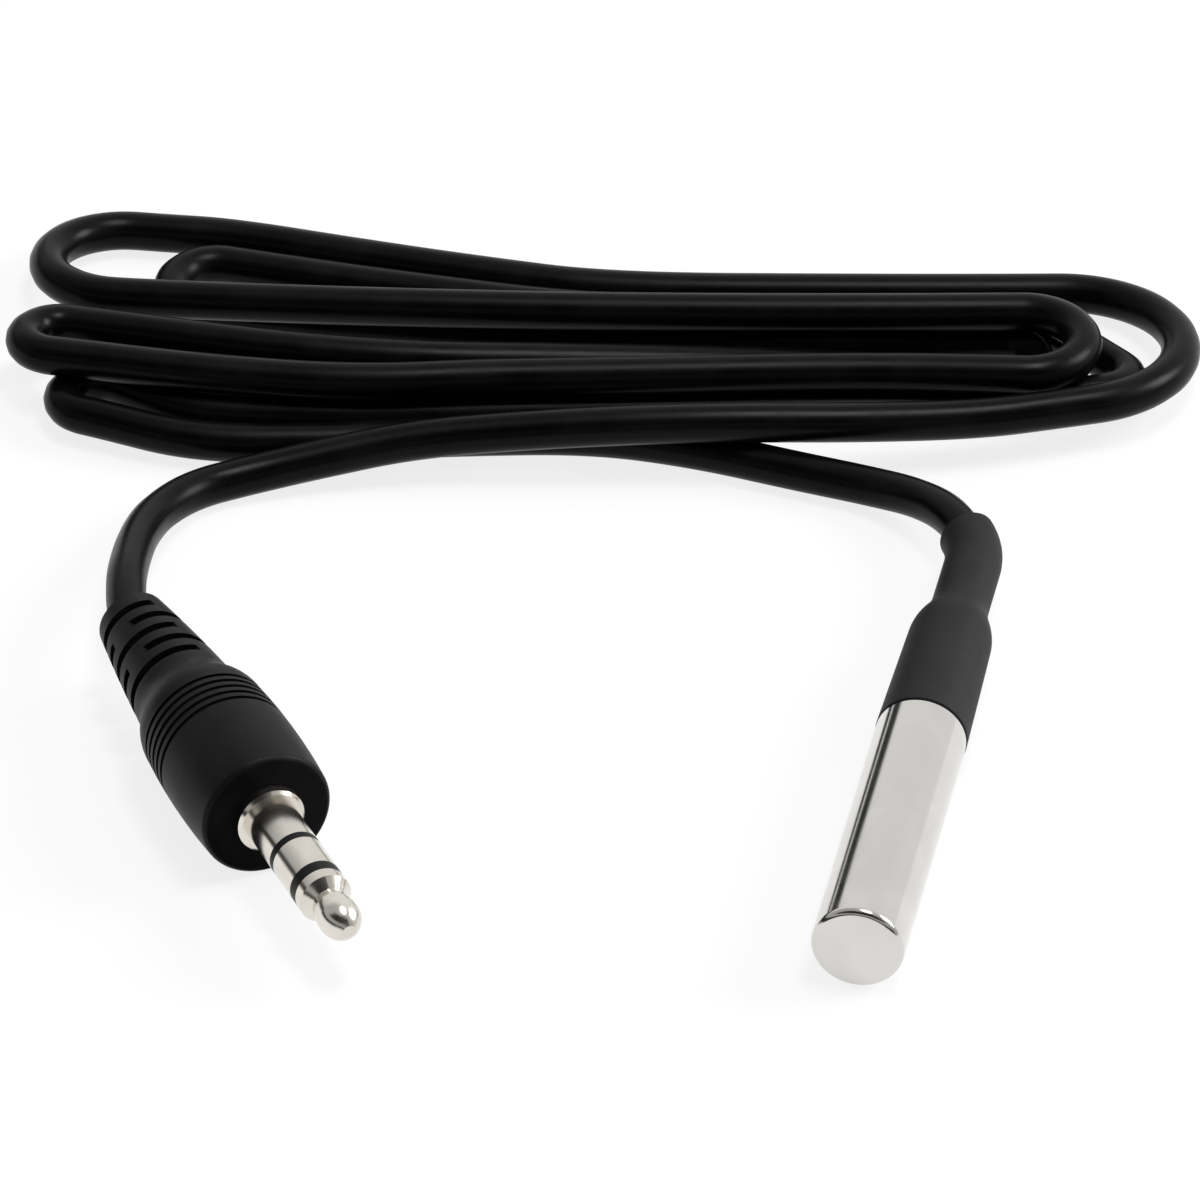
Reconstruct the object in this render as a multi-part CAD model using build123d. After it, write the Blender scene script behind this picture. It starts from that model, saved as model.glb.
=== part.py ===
from build123d import *
import math
import os

# A temperature probe: a closed steel sheath on a thin three-core cable, with a three-pole
# phone plug at the cable's other end. Millimetres, +Z up. The sheath lies along Y with its
# closed tip towards -Y, and the probe, the plug and the wound cable lie on the plane z = 0.

# Probe head
sheath_diameter = 6.0
sheath_length = 34.0
sheath_wall = 0.3
sheath_tip_wall = 0.5
sheath_tip_round = 0.5
sheath_bore_round = 0.25
swage_depth = 0.2
swage_taper = 0.25
swage_show = 0.2
sensor_clearance = 0.3
sensor_flat = 1.3
sensor_length = 4.7
sensor_gap = 0.3
lead_width = 0.4
lead_pitch = 1.27
lead_length = 5.0
potting_recess = 0.6

# Heat-shrink sleeve over the sheath's open end and the first stretch of cable; its wall is
# thicker on the cable, where it has shrunk further
shrink_wall = 0.25
shrink_tail_wall = 0.57
shrink_overlap = 10.4
shrink_shoulder = 4.6
shrink_tail = 4.5
shrink_bend_radius = 7.0
shrink_bend_angle = 30.0
shrink_lip_round = 0.12

# Cable and its three cores
cable_diameter = 2.7
core_diameter = 0.9
core_lay_radius = 0.72
probe_jacket_grip = 8.0
plug_jacket_grip = 2.0
plug_core_length = 3.2
core_straight_share = 0.25
core_bend_share = 0.2
core_lay_angle = 210.0
exit_run = 2.5
tail_arc_share = 0.45

# Soldered joints, each under a small sleeve in the probe
solder_overlap = 1.8
solder_cap = 0.6
joint_sleeve_length = 6.0
joint_sleeve_gap = 0.05
fit_clearance = 0.02

# Plug moulding, from its front face back to the end of the strain relief
barrel_length = 10.4
flare_length = 3.9
boot_length = 9.1
barrel_rear_diameter = 8.7
barrel_middle_diameter = 9.2
barrel_front_diameter = 8.8
barrel_front_round = 0.4
boot_front_diameter = 6.8
boot_rear_diameter = 4.7
boot_bulge = 0.06
groove_count = 5
groove_pitch = 0.75
groove_width = 0.36
groove_depth = 0.2
groove_setback = 0.2
slot_count = 5
slot_pitch = 1.68
slot_width = 0.75
slot_setback = 1.6
slot_floor = 0.35
slot_web = 1.8
slot_angle = 50.0

# Plug contacts, measured forwards from the moulding's front face
jack_diameter = 3.5
jack_length = 13.6
sleeve_end = 4.6
front_band = 0.6
ring_end = 8.0
tip_band = 0.9
tip_shoulder_end = 9.7
tip_neck = 10.3
tip_neck_diameter = 2.3
tip_bulb = 11.9
tip_bulb_diameter = 2.8
tip_nose_diameter = 0.9
tip_rod_diameter = 1.0
contact_wall = 0.3
collar_diameter = 4.6
collar_height = 0.8
collar_chamfer = 0.2
flange_diameter = 6.0
flange_cover = 0.6
flange_rear = 2.0

# Solder lugs and insulating washers, stacked behind the contacts' flange
lug_thickness = 0.3
washer_thickness = 0.6
lug_rim = 0.35
tab_width = 1.0
tab_length = 1.6
rivet_rim = 0.3
rivet_height = 0.3
bead_diameter = 1.0
bead_overlap = 0.6
inner_mould_diameter = 6.6
inner_mould_chamfer = 0.6

# Where the plug and the wound cable lie
plug_face_x = -39.15
plug_face_y = -19.1
plug_yaw = 34.9
hank_x = -28.8
hank_y = 40.4
hank_yaw = 11.3
hank_height = 5.5
hank_round = 1.2

os.makedirs("parts", exist_ok=True)
nodes = {}
signals = ("ground", "data", "supply")
poles = ("sleeve", "ring", "tip")
on_base = (Align.CENTER, Align.CENTER, Align.MIN)


def rod(radius, low, high):
    return Pos(0, 0, low) * Cylinder(radius, high - low, align=on_base)


def ring(outer, inner, low, high):
    return rod(outer, low, high) - rod(inner, low, high)


def turned(*profile):
    return revolve(Plane.XZ * make_face(Polyline(*profile, close=True)), Axis.Z)


def stepped_curve(first, last):
    """Two equal arcs from one (radius, height) to another, both ends along the axis."""
    middle = ((first[0] + last[0]) / 2, (first[1] + last[1]) / 2)
    lower = TangentArc(first, middle, tangent=(0, 1))
    upper = TangentArc(last, middle, tangent=(0, -1))
    return lower + upper


def wire_core(start, end):
    """An insulated core that leaves both of its ends along the axis."""
    span = end[2] - start[2]
    path = FilletPolyline(
        start,
        (start[0], start[1], start[2] + core_straight_share * span),
        (end[0], end[1], end[2] - core_straight_share * span),
        end,
        radius=core_bend_share * abs(span),
    )
    return sweep(Plane(path @ 0, z_dir=path % 0) * Circle(core_diameter / 2), path=path)


# Probe sheath: a drawn stainless tube with a closed, rounded tip. Its open end is swaged down
# from just ahead of the heat-shrink sleeve's lip, which keys it to the resin inside.
# Its own frame has the tip at the origin and Z along the tube.
sheath_radius = sheath_diameter / 2
bore_radius = sheath_radius - sheath_wall
swage_radius = sheath_radius - swage_depth
mouth_radius = swage_radius - swage_taper
lip = sheath_length - shrink_overlap
swage_low = lip - swage_show
lip_radius = swage_radius - swage_taper * swage_show / (sheath_length - swage_low)
tube = turned(
    (0, 0),
    (sheath_radius, 0),
    (sheath_radius, swage_low),
    (swage_radius, swage_low),
    (mouth_radius, sheath_length),
    (0, sheath_length),
)
tube = fillet(tube.edges().group_by(Axis.Z)[0], sheath_tip_round)
bore = turned(
    (0, sheath_tip_wall),
    (bore_radius, sheath_tip_wall),
    (bore_radius, swage_low - sheath_wall),
    (swage_radius - sheath_wall, swage_low - sheath_wall),
    (mouth_radius - sheath_wall, sheath_length),
    (0, sheath_length),
)
bore = fillet(bore.edges().group_by(Axis.Z)[0], sheath_bore_round)

cable_radius = cable_diameter / 2
shrink_tail_radius = cable_radius + shrink_tail_wall
bend = math.radians(shrink_bend_angle)
tail_start = sheath_length + shrink_shoulder
bend_start = tail_start + shrink_tail
bend_reach = shrink_bend_radius * math.sin(bend)
head_length = bend_start + bend_reach + shrink_tail_radius * math.sin(bend)
probe_height = max(sheath_radius, lip_radius + shrink_wall)
probe_frame = Plane(origin=(0, -head_length / 2, probe_height), x_dir=(1, 0, 0), z_dir=(0, 1, 0))
nodes["probe_sheath"] = probe_frame * (tube - bore)

# Sensor: a three-lead semiconductor package with one flat side, close to the tip.
sensor_radius = bore_radius - sensor_clearance
sensor_low = sheath_tip_wall + sensor_gap
sensor_high = sensor_low + sensor_length
flat_cut = Pos(0, -sensor_radius - sensor_flat) * Rectangle(2 * sensor_radius, 2 * sensor_radius)
sensor = Pos(0, 0, sensor_low) * extrude(Circle(sensor_radius) - flat_cut, sensor_length)
nodes["sensor_package"] = probe_frame * sensor

# Leads, solder, joint sleeves and cable cores, side by side at the sensor's lead pitch.
lead_high = sensor_high + lead_length
bead_high = lead_high + solder_cap
jacket_low = sheath_length - probe_jacket_grip
sleeve_low = lead_high - joint_sleeve_length / 2
joint_sleeve_radius = (lead_pitch - joint_sleeve_gap) / 2
core_radius = core_diameter / 2
core_spacing = 360 / len(signals)
embedded = sensor
probe_beads = []
for index, signal in enumerate(signals):
    lead_x = (index - 1) * lead_pitch
    lay = math.radians(core_lay_angle - core_spacing * index)
    lay_point = (core_lay_radius * math.cos(lay), core_lay_radius * math.sin(lay), jacket_low)
    lead = Pos(lead_x, 0, sensor_high) * Box(lead_width, lead_width, lead_length, align=on_base)
    bead = Pos(lead_x, 0, 0) * rod(core_radius, lead_high - solder_overlap, bead_high) - lead
    core = wire_core((lead_x, 0, bead_high), lay_point)
    sleeve = Pos(lead_x, 0, 0) * ring(
        joint_sleeve_radius, core_radius + fit_clearance, sleeve_low, sleeve_low + joint_sleeve_length
    )
    sleeve_fill = Pos(lead_x, 0, 0) * rod(joint_sleeve_radius, sleeve_low, sleeve_low + joint_sleeve_length)
    embedded = embedded + lead + core + sleeve_fill
    probe_beads.append(bead)
    nodes[f"sensor_lead_{signal}"] = probe_frame * lead
    nodes[f"probe_core_{signal}"] = probe_frame * core
    nodes[f"probe_joint_sleeve_{signal}"] = probe_frame * sleeve
nodes["probe_solder_joints"] = probe_frame * Compound(children=probe_beads)

# Potting: cast resin that fills the sheath round everything inside it.
fill = bore & rod(sheath_radius, 0, sheath_length - potting_recess)
nodes["potting"] = probe_frame * (fill - embedded - rod(cable_radius, jacket_low, sheath_length))

# Heat-shrink sleeve: one tube shrunk over the sheath's end, necked down onto the cable,
# with its last stretch bent with the cable.
wide_radius = lip_radius + shrink_wall
neck_radius = mouth_radius + shrink_wall
outer_neck = stepped_curve((neck_radius, sheath_length), (shrink_tail_radius, tail_start))
inner_neck = stepped_curve((mouth_radius, sheath_length), (cable_radius, tail_start))
outer_side = Polyline((lip_radius, lip), (wide_radius, lip), (neck_radius, sheath_length))
tail_side = Polyline(
    (shrink_tail_radius, tail_start),
    (shrink_tail_radius, bend_start),
    (cable_radius, bend_start),
    (cable_radius, tail_start),
)
inner_side = Line((mouth_radius, sheath_length), (lip_radius, lip))
shrink_profile = make_face(outer_side + outer_neck + tail_side + inner_neck + inner_side)
shrink = revolve(Plane.XZ * shrink_profile, Axis.Z)
lip_edge = shrink.edges().group_by(Axis.Z)[0].sort_by(SortBy.RADIUS)[-1]
shrink = fillet(lip_edge, shrink_lip_round)
bend_point = probe_frame.from_local_coords((0, 0, bend_start))
bend_path = JernArc(bend_point, (0, 1, 0), shrink_bend_radius, shrink_bend_angle)
bend_section = Plane(bend_path @ 0, z_dir=bend_path % 0)
bent_tail = sweep(bend_section * (Circle(shrink_tail_radius) - Circle(cable_radius)), path=bend_path)
nodes["heat_shrink_sleeve"] = probe_frame * shrink + bent_tail

# Plug. Its own frame has the moulding's front face at the origin, Z towards the tip, X up.
moulding_length = barrel_length + flare_length + boot_length
yaw = math.radians(plug_yaw)
plug_frame = Plane(
    origin=(plug_face_x, plug_face_y, barrel_middle_diameter / 2),
    x_dir=(0, 0, 1),
    z_dir=(math.sin(yaw), -math.cos(yaw), 0),
)

# Turned contacts: three coaxial tubes and rods, kept apart by two insulators.
jack_radius = jack_diameter / 2
rod_radius = tip_rod_diameter / 2
tip_tube = rod_radius + contact_wall
ring_tube = tip_tube + contact_wall
front_tube = ring_tube + contact_wall
lug_rear = {"sleeve": -flange_rear - lug_thickness}
lug_rear["ring"] = lug_rear["sleeve"] - washer_thickness - lug_thickness
lug_rear["tip"] = lug_rear["ring"] - washer_thickness - lug_thickness
rivet_rear = lug_rear["tip"] - rivet_height
ring_start = sleeve_end + front_band
tip_start = ring_end + tip_band
collar_radius = collar_diameter / 2
flange_radius = flange_diameter / 2
sleeve_contact = turned(
    (front_tube, -flange_rear),
    (flange_radius, -flange_rear),
    (flange_radius, -flange_cover),
    (collar_radius, -flange_cover),
    (collar_radius, collar_height - collar_chamfer),
    (collar_radius - collar_chamfer, collar_height),
    (jack_radius, collar_height),
    (jack_radius, sleeve_end),
    (front_tube, sleeve_end),
)
front_insulator = turned(
    (ring_tube, lug_rear["sleeve"]),
    (front_tube, lug_rear["sleeve"]),
    (front_tube, sleeve_end),
    (jack_radius, sleeve_end),
    (jack_radius, ring_start),
    (ring_tube, ring_start),
)
ring_contact = turned(
    (tip_tube, lug_rear["ring"]),
    (ring_tube, lug_rear["ring"]),
    (ring_tube, ring_start),
    (jack_radius, ring_start),
    (jack_radius, ring_end),
    (tip_tube, ring_end),
)
tip_insulator = turned(
    (rod_radius, lug_rear["ring"] - washer_thickness),
    (tip_tube, lug_rear["ring"] - washer_thickness),
    (tip_tube, ring_end),
    (jack_radius, ring_end),
    (jack_radius, tip_start),
    (rod_radius, tip_start),
)

# Tip: a shoulder, a waist that the socket's spring drops into, and a rounded nose.
rod_side = Polyline(
    (0, jack_length),
    (0, rivet_rear),
    (rod_radius + rivet_rim, rivet_rear),
    (rod_radius + rivet_rim, lug_rear["tip"]),
    (rod_radius, lug_rear["tip"]),
    (rod_radius, tip_start),
    (jack_radius, tip_start),
    (jack_radius, tip_shoulder_end),
    (tip_neck_diameter / 2, tip_neck),
)
bulb_radius = tip_bulb_diameter / 2
nose_radius = tip_nose_diameter / 2
waist = TangentArc((bulb_radius, tip_bulb), (tip_neck_diameter / 2, tip_neck), tangent=(0, -1))
nose = TangentArc((bulb_radius, tip_bulb), (nose_radius, jack_length), tangent=(0, 1))
nose_flat = Line((nose_radius, jack_length), (0, jack_length))
tip_contact = revolve(Plane.XZ * make_face(rod_side + waist + nose + nose_flat), Axis.Z)

# Solder lugs: each a washer pressed on its contact's tail, with a tab folded back.
lug_bore = {"sleeve": front_tube, "ring": ring_tube, "tip": rod_radius}
tip_rim = rod_radius + rivet_rim + lug_rim
ring_rim = max(tip_rim, ring_tube) + lug_thickness + lug_rim
sleeve_rim = max(ring_rim, front_tube) + lug_thickness + lug_rim
lug_radius = {"sleeve": sleeve_rim, "ring": ring_rim, "tip": tip_rim}
tab_rear = rivet_rear - tab_length
bead_rear = tab_rear - bead_overlap
jacket_front = bead_rear - plug_core_length
inner_mould_rear = jacket_front - plug_jacket_grip
terminals = {}
plug_cores = {}
plug_beads = []
for index, pole in enumerate(poles):
    low = lug_rear[pole]
    tab_x = lug_radius[pole] - lug_thickness / 2
    tab_height = low + lug_thickness - tab_rear
    turn = Rot(0, 0, core_spacing * index)
    washer = ring(lug_radius[pole], lug_bore[pole], low, low + lug_thickness)
    tab = Pos(tab_x, 0, tab_rear) * Box(lug_thickness, tab_width, tab_height, align=on_base)
    terminals[pole] = turn * (washer + tab)
    solder = Pos(tab_x, 0, 0) * rod(bead_diameter / 2, bead_rear, tab_rear + bead_overlap) - tab
    plug_beads.append(turn * solder)
    plug_cores[pole] = turn * wire_core((core_lay_radius, 0, jacket_front), (tab_x, 0, bead_rear))

# Insulating washers between the lugs.
outer_washer = ring(ring_rim, ring_tube, lug_rear["sleeve"] - washer_thickness, lug_rear["sleeve"])
inner_washer = ring(tip_rim, tip_tube, lug_rear["ring"] - washer_thickness, lug_rear["ring"])

# Inner mould: the first shot of plastic, which holds the lugs, the joints and the jacket's end.
inner_mould_radius = inner_mould_diameter / 2
inner_mould_body = rod(inner_mould_radius, inner_mould_rear, -flange_rear)
inner_mould_body = chamfer(inner_mould_body.edges().group_by(Axis.Z)[0], inner_mould_chamfer)
inner_mould = inner_mould_body - rod(cable_radius, inner_mould_rear, jacket_front)
for piece in (front_insulator, ring_contact, tip_insulator, tip_contact, outer_washer, inner_washer):
    inner_mould = inner_mould - piece
for pole, bead in zip(poles, plug_beads):
    inner_mould = inner_mould - terminals[pole] - bead - plug_cores[pole]

# Outer moulding: grip barrel, flare and slotted strain relief in one shot of soft plastic.
boot_end = -barrel_length - flare_length
boot_rear_radius = boot_rear_diameter / 2
boot_front_radius = boot_front_diameter / 2
boot_middle_radius = (boot_rear_radius + boot_front_radius) / 2 + boot_bulge
barrel_rear_radius = barrel_rear_diameter / 2
barrel_middle_radius = barrel_middle_diameter / 2
barrel_front_radius = barrel_front_diameter / 2


def moulding_body(inset):
    """The moulding's turned outside, drawn in towards the axis by the inset."""
    boot_rear = (boot_rear_radius - inset, -moulding_length)
    boot_middle = (boot_middle_radius - inset, boot_end - boot_length / 2)
    boot_front = (boot_front_radius - inset, boot_end)
    barrel_rear = (barrel_rear_radius - inset, -barrel_length)
    barrel_middle = (barrel_middle_radius - inset, -barrel_length / 2)
    barrel_front = (barrel_front_radius - inset, 0)
    boot_side = ThreePointArc(boot_rear, boot_middle, boot_front)
    flare_side = stepped_curve(boot_front, barrel_rear)
    barrel_side = ThreePointArc(barrel_rear, barrel_middle, barrel_front)
    inside = Polyline(barrel_front, (0, 0), (0, -moulding_length), boot_rear)
    return revolve(Plane.XZ * make_face(boot_side + flare_side + barrel_side + inside), Axis.Z)


moulding = moulding_body(0)
moulding = fillet(moulding.edges().group_by(Axis.Z)[-1], barrel_front_round)

# Fine grip grooves round the rear of the barrel.
groove_floor = moulding_body(groove_depth)
for index in range(groove_count):
    groove_low = -barrel_length + groove_setback + index * groove_pitch
    moulding = moulding - (rod(barrel_middle_radius, groove_low, groove_low + groove_width) - groove_floor)

# Strain relief: opposed pairs of slots, each pair turned a quarter from the one before.
for index in range(slot_count):
    slot_low = -moulding_length + slot_setback + index * slot_pitch - slot_width / 2
    pair = Circle(barrel_rear_radius) - Circle(cable_radius + slot_floor)
    pair = pair - Rectangle(slot_web, barrel_rear_diameter)
    turn = Rot(0, 0, slot_angle + 90 * index)
    moulding = moulding - Pos(0, 0, slot_low) * turn * extrude(pair, slot_width)

# The moulding closes on the inner mould, the sleeve's flange and collar, and the cable.
moulding = moulding - inner_mould_body
moulding = moulding - rod(flange_radius, -flange_rear, -flange_cover)
moulding = moulding - rod(collar_radius, -flange_cover, 0)
moulding = moulding - rod(cable_radius, -moulding_length, inner_mould_rear)

nodes["plug_moulding"] = plug_frame * moulding
nodes["plug_inner_mould"] = plug_frame * inner_mould
nodes["plug_sleeve_contact"] = plug_frame * sleeve_contact
nodes["plug_front_insulator"] = plug_frame * front_insulator
nodes["plug_ring_contact"] = plug_frame * ring_contact
nodes["plug_tip_insulator"] = plug_frame * tip_insulator
nodes["plug_tip_contact"] = plug_frame * tip_contact
nodes["plug_outer_washer"] = plug_frame * outer_washer
nodes["plug_inner_washer"] = plug_frame * inner_washer
for pole, signal in zip(poles, signals):
    nodes[f"plug_{pole}_lug"] = plug_frame * terminals[pole]
    nodes[f"plug_core_{signal}"] = plug_frame * plug_cores[pole]
nodes["plug_solder_joints"] = plug_frame * Compound(children=plug_beads)

# Wound cable: the outer shape of the hank, in a frame along the hank's length.
hank_turn = math.radians(hank_yaw)
hank_frame = Plane(
    origin=(hank_x, hank_y, 0),
    x_dir=(math.cos(hank_turn), math.sin(hank_turn), 0),
    z_dir=(0, 0, 1),
)
hank_corners = [
    ((24.0, -8.2), 9.0),
    ((41.0, -5.0), 7.0),
    ((39.6, 10.6), 7.0),
    ((1.0, 10.6), 30.0),
    ((-31.5, 18.0), 12.0),
    ((-41.4, 17.0), 5.0),
    ((-41.2, -6.0), 6.0),
    ((-34.0, -10.6), 5.0),
    ((-18.6, -9.4), 1.5),
    ((-17.0, -13.4), 1.5),
    ((8.0, -13.0), 1.5),
    ((13.6, -9.0), 4.0),
]
hank_outline = FilletPolyline(
    *[point for point, radius in hank_corners],
    radius=[radius for point, radius in hank_corners],
    close=True,
)
hank = extrude(make_face(hank_outline), hank_height)
hank = fillet(hank.edges().group_by(Axis.Z)[-1] + hank.edges().group_by(Axis.Z)[0], hank_round)
nodes["cable_hank"] = hank_frame * hank


def tail_path(inside, route):
    """The straight or bent stretch inside a fitting, then the free route on large arcs."""
    points = [Vector(*point) for point in route]
    radii = []
    for before, corner, after in zip(points, points[1:], points[2:]):
        turn = math.radians((corner - before).get_angle(after - corner))
        shorter = min((corner - before).length, (after - corner).length)
        radii.append(tail_arc_share * shorter / math.tan(turn / 2))
    print("cable arc radii, mm:", [round(radius, 1) for radius in radii])
    return Wire(inside.edges() + FilletPolyline(*points, radius=radii).edges())


def cable_tail(path):
    tail = sweep(Plane(path @ 0, z_dir=path % 0) * Circle(cable_radius), path=path)
    print("tail volume over section times length:", tail.volume / (math.pi * cable_radius**2 * path.length))
    return tail - nodes["cable_hank"]


# Cable between the plug and the hank.
plug_jacket_end = plug_frame.from_local_coords((0, 0, jacket_front))
boot_mouth = plug_frame.from_local_coords((0, 0, -moulding_length))
plug_route = [
    boot_mouth,
    boot_mouth - plug_frame.z_dir * exit_run,
    (-55.2, 6.8, 4.0),
    (-55.4, 10.5, 3.3),
    (-54.9, 14.4, 2.5),
    (-53.6, 18.2, 1.8),
    (-50.8, 21.7, 1.4),
    (-46.5, 24.3, 1.9),
    (-41.1, 26.5, 2.8),
    (-34.9, 27.8, 3.3),
]
nodes["cable_plug_tail"] = cable_tail(tail_path(Line(plug_jacket_end, boot_mouth), plug_route))

# Cable between the hank and the probe.
probe_jacket_end = probe_frame.from_local_coords((0, 0, jacket_low))
probe_route = [
    bend_path @ 1,
    bend_path @ 1 + (bend_path % 1) * exit_run,
    (-4.9, 28.0, 2.1),
    (-8.6, 29.9, 1.5),
    (-13.7, 30.8, 1.4),
    (-19.7, 31.3, 1.4),
    (-26.0, 31.4, 1.4),
]
inside_sleeve = Line(probe_jacket_end, bend_point) + bend_path
nodes["cable_probe_tail"] = cable_tail(tail_path(inside_sleeve, probe_route))

for name, node in nodes.items():
    export_step(node, f"parts/{name}.step")
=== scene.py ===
import math

import bpy
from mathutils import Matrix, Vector


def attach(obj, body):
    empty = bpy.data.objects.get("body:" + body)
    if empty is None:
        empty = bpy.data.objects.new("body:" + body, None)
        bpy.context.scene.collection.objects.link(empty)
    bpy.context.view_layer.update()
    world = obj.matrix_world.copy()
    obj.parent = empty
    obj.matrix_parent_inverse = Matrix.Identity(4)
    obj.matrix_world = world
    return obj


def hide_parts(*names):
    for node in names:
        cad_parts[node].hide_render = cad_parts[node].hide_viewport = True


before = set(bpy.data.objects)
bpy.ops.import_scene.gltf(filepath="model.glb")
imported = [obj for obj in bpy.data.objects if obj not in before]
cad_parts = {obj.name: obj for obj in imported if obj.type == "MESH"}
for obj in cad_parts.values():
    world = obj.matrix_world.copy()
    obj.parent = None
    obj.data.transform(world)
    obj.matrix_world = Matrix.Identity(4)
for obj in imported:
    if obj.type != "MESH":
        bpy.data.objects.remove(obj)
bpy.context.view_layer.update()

bpy.ops.object.select_all(action="DESELECT")

# Probe sheath: a closed stainless tube, drawn and then polished along its length, so that its
# fine lines run from the tip to the swaged end under the sleeve's lip.
# Its finish comes from two shader groups that the other finishes use as well.


def shader_group(name, scale, output):
    """An empty group that makes one number from a place and a scale, and the group's two ends."""
    group = bpy.data.node_groups.new(name, "ShaderNodeTree")
    sockets = group.interface
    sockets.new_socket("Vector", in_out="INPUT", socket_type="NodeSocketVector")
    scale_socket = sockets.new_socket("Scale", in_out="INPUT", socket_type="NodeSocketFloat")
    scale_socket.default_value = scale
    sockets.new_socket(output, in_out="OUTPUT", socket_type="NodeSocketFloat")
    return group, group.nodes.new("NodeGroupInput"), group.nodes.new("NodeGroupOutput")


def add(tree, kind, values=None, **settings):
    """A new node with these settings and, on its inputs, these values."""
    made = tree.nodes.new(kind)
    for setting, value in settings.items():
        setattr(made, setting, value)
    for socket, value in (values or {}).items():
        made.inputs[socket].default_value = value
    return made


def link(tree, *pairs):
    """A link from an output to an input for each pair."""
    for source, target in pairs:
        tree.links.new(source, target)


# Grain: half a fine and half a coarse noise, as a height.
coarse_share = 0.23  # the coarse noise's scale, as a share of the fine one's
grain_group, grain_in, grain_out = shader_group("surface_grain", scale=1000.0, output="Height")
fine = add(grain_group, "ShaderNodeTexNoise", {"Detail": 3.0})
coarse = add(grain_group, "ShaderNodeTexNoise", {"Detail": 1.0})
coarse_scale = add(grain_group, "ShaderNodeMath", {1: coarse_share}, operation="MULTIPLY")
both = add(grain_group, "ShaderNodeMath", operation="ADD")
half = add(grain_group, "ShaderNodeMath", {1: 0.5}, operation="MULTIPLY")
link(
    grain_group,
    (grain_in.outputs["Vector"], fine.inputs["Vector"]),
    (grain_in.outputs["Vector"], coarse.inputs["Vector"]),
    (grain_in.outputs["Scale"], fine.inputs["Scale"]),
    (grain_in.outputs["Scale"], coarse_scale.inputs[0]),
    (coarse_scale.outputs[0], coarse.inputs["Scale"]),
    (fine.outputs["Fac"], both.inputs[0]),
    (coarse.outputs["Fac"], both.inputs[1]),
    (both.outputs[0], half.inputs[0]),
    (half.outputs[0], grain_out.inputs["Height"]),
)

# Handling: wide soft smudges from fingers and dust, as a mask.
handling_group, handling_in, handling_out = shader_group("handling", scale=200.0, output="Mask")
smudge = add(handling_group, "ShaderNodeTexNoise", {"Detail": 4.0, "Distortion": 0.6})
spread = add(
    handling_group,
    "ShaderNodeMapRange",
    {"From Min": 0.35, "From Max": 0.7},
    interpolation_type="SMOOTHSTEP",
)
link(
    handling_group,
    (handling_in.outputs["Vector"], smudge.inputs["Vector"]),
    (handling_in.outputs["Scale"], smudge.inputs["Scale"]),
    (smudge.outputs["Fac"], spread.inputs["Value"]),
    (spread.outputs["Result"], handling_out.inputs["Mask"]),
)

handling_weight = 0.5  # how far handling drives the roughness, beside the grain


def finish(name, clean, worn, gloss, grain_size, relief, plain=None, stretch=(1, 1, 1), yaw=0.0):
    """A material that drifts between a clean and a worn colour and between two roughnesses.

    The grain has a size and a relief in metres. stretch scales its coordinates along the axes of
    the piece, which is turned by yaw about Z, so a small number draws the grain out along that
    axis. plain gives the shader's other values, which are the same all over.
    """
    material = bpy.data.materials.new(name)
    material.use_nodes = True
    tree = material.node_tree
    shader = tree.nodes["Principled BSDF"]
    for socket, value in (plain or {}).items():
        shader.inputs[socket].default_value = value
    place = add(tree, "ShaderNodeTexCoord")
    lay = add(tree, "ShaderNodeMapping", {"Rotation": (0, 0, -yaw)})
    squeeze = add(tree, "ShaderNodeVectorMath", {1: stretch}, operation="MULTIPLY")
    grain = add(tree, "ShaderNodeGroup", {"Scale": 1 / grain_size}, node_tree=grain_group)
    handling = add(tree, "ShaderNodeGroup", node_tree=handling_group)
    colour = add(tree, "ShaderNodeMix", {"A": (*clean, 1), "B": (*worn, 1)}, data_type="RGBA")
    rough = add(tree, "ShaderNodeMapRange", {"To Min": gloss[0], "To Max": gloss[1]})
    mixed = add(tree, "ShaderNodeMath", {1: handling_weight}, operation="MULTIPLY_ADD")
    bump = add(tree, "ShaderNodeBump", {"Distance": relief})
    link(
        tree,
        (place.outputs["Object"], lay.inputs["Vector"]),
        (lay.outputs["Vector"], squeeze.inputs[0]),
        (squeeze.outputs["Vector"], grain.inputs["Vector"]),
        (place.outputs["Object"], handling.inputs["Vector"]),
        (handling.outputs["Mask"], colour.inputs["Factor"]),
        (handling.outputs["Mask"], mixed.inputs[0]),
        (grain.outputs["Height"], mixed.inputs[2]),
        (mixed.outputs[0], rough.inputs["Value"]),
        (grain.outputs["Height"], bump.inputs["Height"]),
        (colour.outputs["Result"], shader.inputs["Base Color"]),
        (rough.outputs["Result"], shader.inputs["Roughness"]),
        (bump.outputs["Normal"], shader.inputs["Normal"]),
    )
    return material


def dress(material, *names):
    """Gives these CAD pieces the material."""
    for name in names:
        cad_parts[name].material_slots[0].material = material


drawn_out = 0.02  # turns the grain into lines, fifty times as long as they are wide
sheath_steel = finish(
    "sheath_steel",
    clean=(0.70, 0.685, 0.66),
    worn=(0.65, 0.635, 0.61),
    gloss=(0.08, 0.16),
    grain_size=0.00006,
    relief=0.0000003,
    plain={"Metallic": 1.0},
    stretch=(1, drawn_out, 1),
)
dress(sheath_steel, "probe_sheath")

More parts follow.
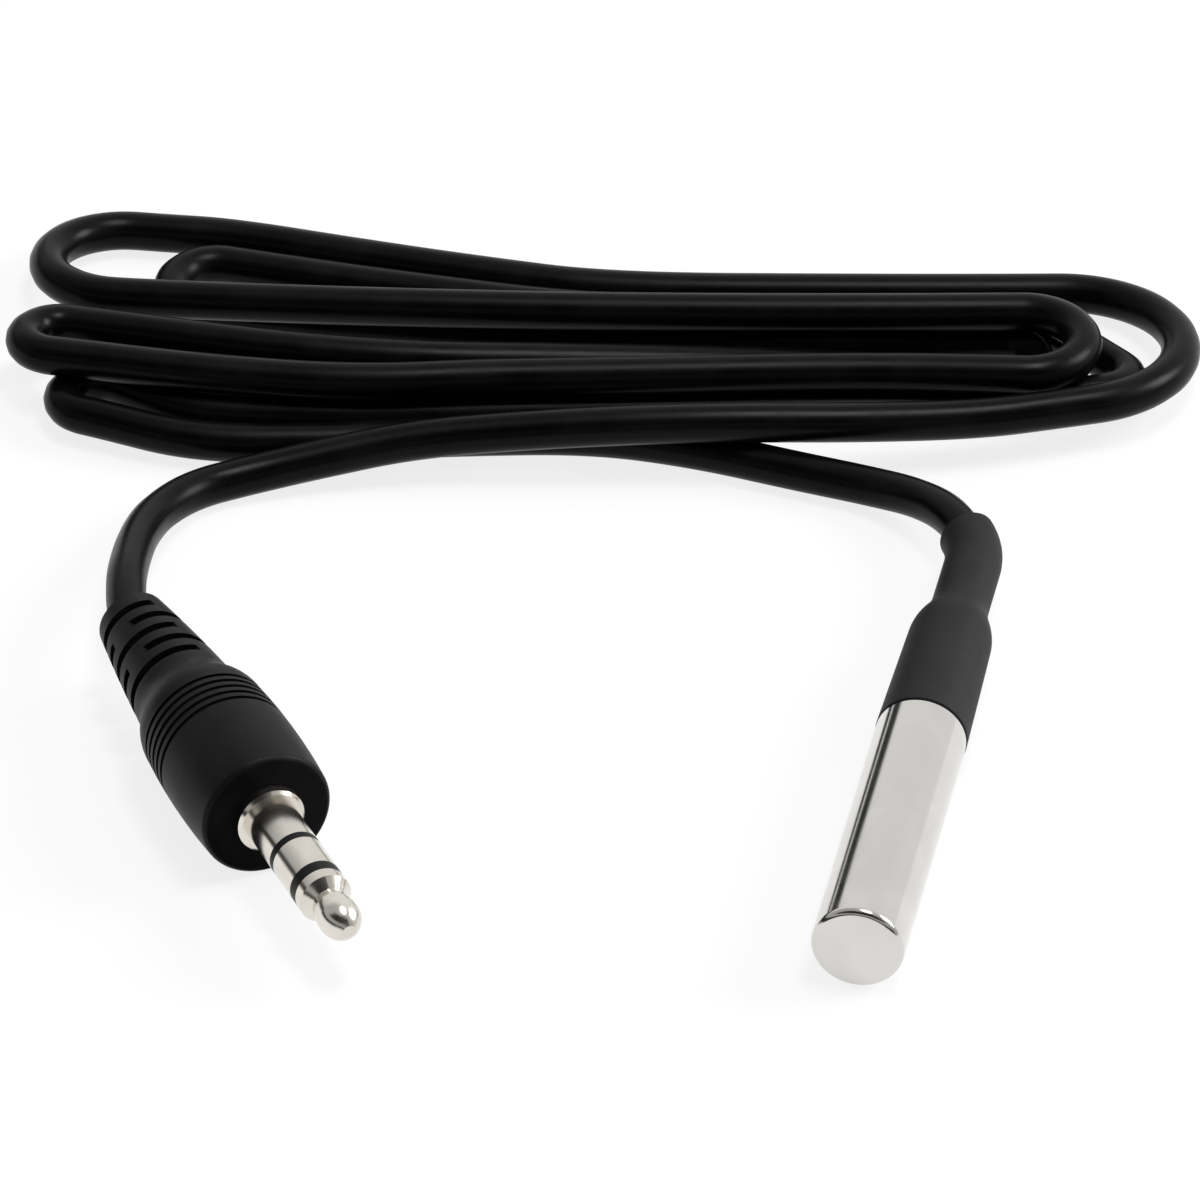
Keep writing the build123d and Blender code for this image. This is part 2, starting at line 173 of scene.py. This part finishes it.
# Sensor and its leads, potted in the sheath: a black epoxy package on tinned legs, soldered to
# the cable's three cores, with a small sleeve over each joint.
core_colours = {
    "ground": (0.012, 0.012, 0.012),
    "data": (0.8, 0.55, 0.03),
    "supply": (0.55, 0.02, 0.015),
}
core_fade, core_dust = 0.85, 0.01
sensor_epoxy = finish(
    "sensor_epoxy",
    clean=(0.02, 0.02, 0.022),
    worn=(0.035, 0.035, 0.036),
    gloss=(0.45, 0.6),
    grain_size=0.00008,
    relief=0.000002,
)
dress(sensor_epoxy, "sensor_package")
tinned_legs = finish(
    "tinned_legs",
    clean=(0.72, 0.72, 0.70),
    worn=(0.62, 0.62, 0.60),
    gloss=(0.3, 0.5),
    grain_size=0.00005,
    relief=0.000001,
    plain={"Metallic": 1.0},
)
dress(tinned_legs, *[f"sensor_lead_{signal}" for signal in core_colours])
soft_solder = finish(
    "soft_solder",
    clean=(0.66, 0.66, 0.67),
    worn=(0.5, 0.5, 0.51),
    gloss=(0.25, 0.45),
    grain_size=0.00025,
    relief=0.000006,
    plain={"Metallic": 1.0},
)
dress(soft_solder, "probe_solder_joints", "plug_solder_joints")
joint_sleeve = finish(
    "joint_sleeve",
    clean=(0.75, 0.74, 0.7),
    worn=(0.62, 0.6, 0.55),
    gloss=(0.4, 0.6),
    grain_size=0.0001,
    relief=0.000002,
)
dress(joint_sleeve, *[f"probe_joint_sleeve_{signal}" for signal in core_colours])
potting_resin = finish(
    "potting_resin",
    clean=(0.03, 0.028, 0.025),
    worn=(0.05, 0.047, 0.04),
    gloss=(0.35, 0.55),
    grain_size=0.0002,
    relief=0.000004,
)
dress(potting_resin, "potting")
for signal, shade in core_colours.items():
    insulation = finish(
        f"core_{signal}",
        clean=shade,
        worn=[core_fade * channel + core_dust for channel in shade],
        gloss=(0.35, 0.5),
        grain_size=0.0001,
        relief=0.000002,
    )
    dress(insulation, f"probe_core_{signal}", f"plug_core_{signal}")

# Heat-shrink sleeve: a black polyolefin tube, shrunk with hot air over the sheath's open end and
# down onto the cable. It is matte, with a fine leathery skin.
sleeve_polyolefin = finish(
    "sleeve_polyolefin",
    clean=(0.007, 0.007, 0.0073),
    worn=(0.012, 0.012, 0.0123),
    gloss=(0.50, 0.66),
    grain_size=0.00022,
    relief=0.000012,
    plain={"Specular IOR Level": 0.2},
)
dress(sleeve_polyolefin, "heat_shrink_sleeve")

# Cable: a limp three-core lead with a black PVC jacket, wound in a flat hank of four turns.
# One spline follows it from the sleeve to the plug's boot: the free stretches point by point, in
# metres, and the hank from each fold's arc and how each strand lies, in its own millimetres.
cable_diameter = 0.0027
hank_centre = Vector((-0.0288, 0.0404, 0))
hank_yaw = math.radians(11.3)
fold_steps = 5


def in_hank(along, across, height):
    """A point from millimetres along and across the hank, and up from the floor."""
    run = Vector((math.cos(hank_yaw), math.sin(hank_yaw), 0))
    side = Vector((-math.sin(hank_yaw), math.cos(hank_yaw), 0))
    return hank_centre + (along * run + across * side + Vector((0, 0, height))) / 1000


probe_stretch = [
    (-0.000938, 0.02282, 0.0030453),
    (-0.002188, 0.024985, 0.0030453),
    (-0.0050, 0.0279, 0.0022),
    (-0.0088, 0.0298, 0.0014),
    (-0.0140, 0.0306, 0.0014),
]
# The first strand: along, across and height of its points. The last one crosses over it.
under_the_crossing = [
    (6.0, -9.9, 1.4), (-1.0, -8.2, 1.4), (-10.0, -8.4, 1.4), (-20.0, -9.2, 1.4),
    (-28.0, -9.3, 1.5),
]
# Each fold: the along and across of its arc's centre, its radius, and the height where the cable
# comes in and goes out. The strand after it: along, across and height of its points.
turns = [
    (
        (-34.6, -4.2, 2.4, 1.8, 1.4),
        [
            (-28.5, -5.3, 1.4), (-24, -5.8, 1.4), (-17, -6.2, 1.4), (0, -5.4, 1.4),
            (17, -5.2, 1.4), (28, -5.0, 1.6),
        ],
    ),
    (
        (33.0, -1.7, 2.4, 2.0, 1.4),
        [(30.5, 4.8, 1.4), (26.5, 5.9, 1.4), (17, 6.3, 1.4), (0, 6.4, 1.4), (-17, 10.2, 1.4)],
    ),
    (
        (-27.0, 9.8, 3.0, 1.4, 1.4),
        [(-17, 4.9, 1.4), (0, 3.1, 1.4), (17, 2.6, 1.4)],
    ),
    (
        (26.6, 0.4, 2.7, 1.4, 1.4),
        [(17, -0.2, 1.4), (0, -1.2, 2.6), (-17, -2.4, 3.6)],
    ),
    (
        (-37.2, 0.0, 2.5, 3.3, 4.0),
        [(-27, -4.7, 4.0), (-17, -5.9, 4.0), (-8, -5.2, 4.0), (0, -5.0, 4.0), (17, -4.4, 4.0)],
    ),
    (
        (28.3, -1.1, 4.0, 4.2, 4.0),
        [(17, 2.8, 4.0), (0, 2.9, 4.0), (-17, 3.6, 4.0)],
    ),
    (
        (-33.2, 11.6, 5.4, 3.1, 1.4),
        [(-26, 16.2, 1.4), (-17, 13.6, 1.4), (-9, 11.5, 1.4), (0, 9.4, 1.4), (17, 9.2, 1.4)],
    ),
    (
        (30.9, 1.0, 8.2, 1.4, 3.1),
        [],
    ),
]
# The last strand, which leaves the hank towards the plug.
over_the_crossing = [
    (25.0, -9.0, 3.2), (17.0, -10.0, 3.6), (10.0, -10.7, 4.1), (3.0, -10.9, 4.1),
    (-5.0, -10.7, 3.5), (-13.0, -10.9, 2.9), (-19.5, -12.0, 2.0),
]
plug_stretch = [
    (-0.0502, 0.0227, 0.0014),
    (-0.0533, 0.0204, 0.0014),
    (-0.0549, 0.0166, 0.0019),
    (-0.0551, 0.0128, 0.0027),
    (-0.0548, 0.0091, 0.0035),
    (-0.0542, 0.0050, 0.0043),
    (-0.05311, 0.00091, 0.0046),
    (-0.05254, 0.00009, 0.0046),
]


def toward(angle):
    """A unit vector at this angle in the floor's plane."""
    return Vector((math.cos(angle), math.sin(angle)))


def round_fold(before, fold, after):
    """Points that take the cable in line onto a fold's arc, round it, and in line off it."""
    centre, radius, height_in, height_out = Vector(fold[:2]), *fold[2:]
    turn = math.copysign(1, (after[1] - before[1]) * fold[0])
    onto, off = centre - Vector(before[:2]), Vector(after[:2]) - centre
    heading_in = math.atan2(onto.y, onto.x) - turn * math.asin(radius / onto.length)
    heading_out = math.atan2(off.y, off.x) + turn * math.asin(radius / off.length)
    step = turn * (turn * (heading_out - heading_in) % math.tau) / fold_steps
    edge = 2 * radius * math.tan(abs(step) / 2)
    points = []
    for number in range(fold_steps):
        bearing = heading_in + (number + 0.5) * step - turn * math.pi / 2
        corner = centre + radius / math.cos(step / 2) * toward(bearing)
        done = (number + 0.5) / fold_steps
        eased = done * done * (3 - 2 * done)
        points.append((*corner, height_in + eased * (height_out - height_in)))
    first = Vector(points[0][:2]) - edge * toward(heading_in)
    last = Vector(points[-1][:2]) + edge * toward(heading_out)
    return [(*first, height_in), *points, (*last, height_out)]


wound = list(under_the_crossing)
for fold, strand in turns:
    wound += round_fold(wound[-1], fold, (strand or over_the_crossing)[0]) + strand
wound += over_the_crossing
route = probe_stretch + [in_hank(*point) for point in wound] + plug_stretch

cable_line = bpy.data.curves.new("cable", "CURVE")
cable_line.dimensions = "3D"
cable_line.bevel_depth = cable_diameter / 2
cable_line.bevel_resolution = 6
cable_line.resolution_u = 10
cable_line.use_fill_caps = True
spline = cable_line.splines.new("NURBS")
spline.points.add(len(route) - 1)
for point, place in zip(spline.points, route):
    point.co = (*place, 1)
spline.order_u = 3
spline.use_endpoint_u = True
cable = bpy.data.objects.new("cable", cable_line)
bpy.context.scene.collection.objects.link(cable)
cable_pvc = finish(
    "cable_pvc",
    clean=(0.0012, 0.0012, 0.0014),
    worn=(0.0028, 0.0028, 0.0031),
    gloss=(0.22, 0.36),
    grain_size=0.00025,
    relief=0.000004,
    plain={"Specular IOR Level": 0.09},
)
cable_line.materials.append(cable_pvc)
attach(cable, "root")
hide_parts("cable_hank", "cable_plug_tail", "cable_probe_tail")

# Plug contacts: turned brass, nickel plated, with fine rings left by the lathe. Sleeve, ring and
# tip are stacked on one axis, with the collar that seats against the moulding.
plug_yaw = math.radians(34.9)
contact_nickel = finish(
    "contact_nickel",
    clean=(0.78, 0.745, 0.685),
    worn=(0.68, 0.64, 0.575),
    gloss=(0.1, 0.24),
    grain_size=0.00006,
    relief=0.0000006,
    plain={"Metallic": 1.0},
    stretch=(drawn_out, 1, drawn_out),
    yaw=plug_yaw,
)
dress(contact_nickel, "plug_sleeve_contact", "plug_ring_contact", "plug_tip_contact")

# Insulators: black nylon tubes, pressed between the contacts, whose ends show as the two dark
# bands on the plug. Nylon washers keep the lugs apart behind them.
band_nylon = finish(
    "band_nylon",
    clean=(0.004, 0.004, 0.0045),
    worn=(0.008, 0.008, 0.008),
    gloss=(0.3, 0.45),
    grain_size=0.0001,
    relief=0.000002,
    plain={"Specular IOR Level": 0.15},
)
dress(band_nylon, "plug_front_insulator", "plug_tip_insulator")
dress(band_nylon, "plug_outer_washer", "plug_inner_washer")

# Inside the moulding: stamped brass solder lugs, one for each contact, and the first shot of
# plastic, which holds them and the cable's cores while the outer moulding is made.
lug_brass = finish(
    "lug_brass",
    clean=(0.78, 0.57, 0.25),
    worn=(0.6, 0.42, 0.18),
    gloss=(0.25, 0.45),
    grain_size=0.0001,
    relief=0.000002,
    plain={"Metallic": 1.0},
)
dress(lug_brass, "plug_sleeve_lug", "plug_ring_lug", "plug_tip_lug")
inner_plastic = finish(
    "inner_plastic",
    clean=(0.6, 0.59, 0.55),
    worn=(0.5, 0.48, 0.44),
    gloss=(0.45, 0.6),
    grain_size=0.0002,
    relief=0.000004,
)
dress(inner_plastic, "plug_inner_mould")

# Plug moulding: soft black PVC, moulded over the contacts and the cable in one shot. Its skin is
# satin with the fine spark-eroded texture of the mould. Its flat front carries a painted shade:
# its specular level falls almost to nothing there, so the face reflects little and stays darker
# than its sides.
# The sides' specular level, and the far lower one that paints shade on the flat front.
side_shine, painted_shade_front_shine = 0.11, 0.01
moulding_pvc = finish(
    "moulding_pvc",
    clean=(0.004, 0.004, 0.0044),
    worn=(0.008, 0.008, 0.0085),
    gloss=(0.36, 0.50),
    grain_size=0.00012,
    relief=0.000006,
    plain={"Specular IOR Level": side_shine},
)
dress(moulding_pvc, "plug_moulding")
plug_axis = (math.sin(plug_yaw), -math.cos(plug_yaw), 0)
moulding_tree = moulding_pvc.node_tree
moulding_shader = moulding_tree.nodes["Principled BSDF"]
# Painted shade: where the skin faces along the plug's axis, the specular level drops nearly to
# nothing, so the front face reflects almost no light and looks dark.
skin = add(moulding_tree, "ShaderNodeNewGeometry")
facing = add(moulding_tree, "ShaderNodeVectorMath", {1: plug_axis}, operation="DOT_PRODUCT")
painted_shade_shine = add(
    moulding_tree,
    "ShaderNodeMapRange",
    {"From Min": 0.85, "From Max": 0.98, "To Min": side_shine, "To Max": painted_shade_front_shine},
    interpolation_type="SMOOTHSTEP",
)
link(
    moulding_tree,
    (skin.outputs["Normal"], facing.inputs[0]),
    (facing.outputs["Value"], painted_shade_shine.inputs["Value"]),
    (painted_shade_shine.outputs["Result"], moulding_shader.inputs["Specular IOR Level"]),
)

# Floor: white paper under the part. The camera, metal and gloss see it mostly as plain white, and
# what is left of the light on it still shows the part's shadow.
floor_size = 8
paper_shade = (0.9, 0.9, 0.9, 1)
white_share = 0.82
bpy.ops.mesh.primitive_plane_add(size=floor_size, location=(0, 0, 0))
floor = bpy.context.object
floor.name = "floor"
paper = bpy.data.materials.new("floor_paper")
paper.use_nodes = True
paper_tree = paper.node_tree
paper_tree.nodes.clear()
surface_out = add(paper_tree, "ShaderNodeOutputMaterial")
lit = add(paper_tree, "ShaderNodeBsdfDiffuse", {"Color": paper_shade})
white = add(paper_tree, "ShaderNodeEmission", {"Color": (1, 1, 1, 1), "Strength": 1.0})
path = add(paper_tree, "ShaderNodeLightPath")
seen = add(paper_tree, "ShaderNodeMath", operation="ADD")
also_seen = add(paper_tree, "ShaderNodeMath", operation="ADD", use_clamp=True)
share = add(paper_tree, "ShaderNodeMath", {1: white_share}, operation="MULTIPLY")
shown = add(paper_tree, "ShaderNodeMixShader")
link(
    paper_tree,
    (path.outputs["Is Camera Ray"], seen.inputs[0]),
    (path.outputs["Is Glossy Ray"], seen.inputs[1]),
    (seen.outputs[0], also_seen.inputs[0]),
    (path.outputs["Is Transmission Ray"], also_seen.inputs[1]),
    (also_seen.outputs[0], share.inputs[0]),
    (share.outputs[0], shown.inputs["Fac"]),
    (lit.outputs[0], shown.inputs[1]),
    (white.outputs[0], shown.inputs[2]),
    (shown.outputs[0], surface_out.inputs["Surface"]),
)
floor.data.materials.append(paper)

# Studio: a pale tent, palest at the back, with dark openings: at the front below and above a pale
# band, and a low slot on the left. A soft lamp hangs overhead, and another stands on the right,
# towards the back.
opening_shade = (0.02, 0.02, 0.02, 1)
# Each opening is where all its bands meet: an axis, and where along it the tent is still pale and
# where it is dark.
openings = {
    "front_low": [("Y", -0.20, -0.45), ("Z", 0.26, 0.20)],
    "front_high": [("Y", -0.20, -0.45), ("Z", 0.46, 0.54), ("Z", 0.96, 0.86)],
    "left": [("X", -0.32, -0.42), ("Z", 0.03, 0.06), ("Z", 0.29, 0.23)],
}
world = bpy.data.worlds.new("studio")
bpy.context.scene.world = world
world.use_nodes = True
studio_tree = world.node_tree
sky = studio_tree.nodes["Background"]
direction = add(studio_tree, "ShaderNodeTexCoord")
split = add(studio_tree, "ShaderNodeSeparateXYZ")
link(studio_tree, (direction.outputs["Generated"], split.inputs[0]))


def joined(operation, first, second):
    """Two masks put together by a math operation, or the second where there is no first."""
    if first is None:
        return second
    both_masks = add(studio_tree, "ShaderNodeMath", operation=operation)
    link(studio_tree, (first, both_masks.inputs[0]), (second, both_masks.inputs[1]))
    return both_masks.outputs[0]


opened = None
for bands in openings.values():
    mask = None
    for axis, pale_at, dark_at in bands:
        band = add(
            studio_tree,
            "ShaderNodeMapRange",
            {"From Min": pale_at, "From Max": dark_at},
            interpolation_type="SMOOTHSTEP",
        )
        link(studio_tree, (split.outputs[axis], band.inputs["Value"]))
        mask = joined("MULTIPLY", mask, band.outputs["Result"])
    opened = joined("MAXIMUM", opened, mask)
tent = add(studio_tree, "ShaderNodeMix", {"B": opening_shade}, data_type="RGBA")
walls = add(
    studio_tree,
    "ShaderNodeMapRange",
    {"From Min": 0.2, "From Max": 0.7, "To Min": 0.45, "To Max": 0.88},
    interpolation_type="SMOOTHSTEP",
)
link(
    studio_tree,
    (split.outputs["Y"], walls.inputs["Value"]),
    (walls.outputs["Result"], tent.inputs["A"]),
    (opened, tent.inputs["Factor"]),
    (tent.outputs["Result"], sky.inputs["Color"]),
)


def soft_lamp(name, place, aim, size, power):
    """A rectangular lamp at a place, turned to face its aim."""
    bpy.ops.object.light_add(type="AREA", location=place)
    lamp = bpy.context.object
    lamp.name = name
    lamp.data.shape = "RECTANGLE"
    lamp.data.size, lamp.data.size_y = size
    lamp.data.energy = power
    lamp.rotation_euler = (Vector(aim) - Vector(place)).to_track_quat("-Z", "Y").to_euler()


soft_lamp("overhead", place=(0.15, 0.05, 0.9), aim=(-0.03, 0.02, 0), size=(0.35, 0.25), power=4.2)
soft_lamp("right_fill", place=(0.75, 0.35, 0.5), aim=(0.0, 0.01, 0), size=(0.4, 0.4), power=7.0)

# Camera: 35 degrees down on the part, a little to the right of the probe's axis, with a long lens
# from 0.75 m away.
camera_place = (0.0961, -0.5874, 0.4302)
look_at = Vector((-0.0243, 0.0151, 0))
bpy.ops.object.camera_add(location=camera_place)
camera = bpy.context.object
camera.data.sensor_width = 36
camera.data.lens = 338.6
camera.rotation_euler = (look_at - camera.location).to_track_quat("-Z", "Y").to_euler()
bpy.context.scene.camera = camera
bpy.context.scene.view_settings.view_transform = "Standard"
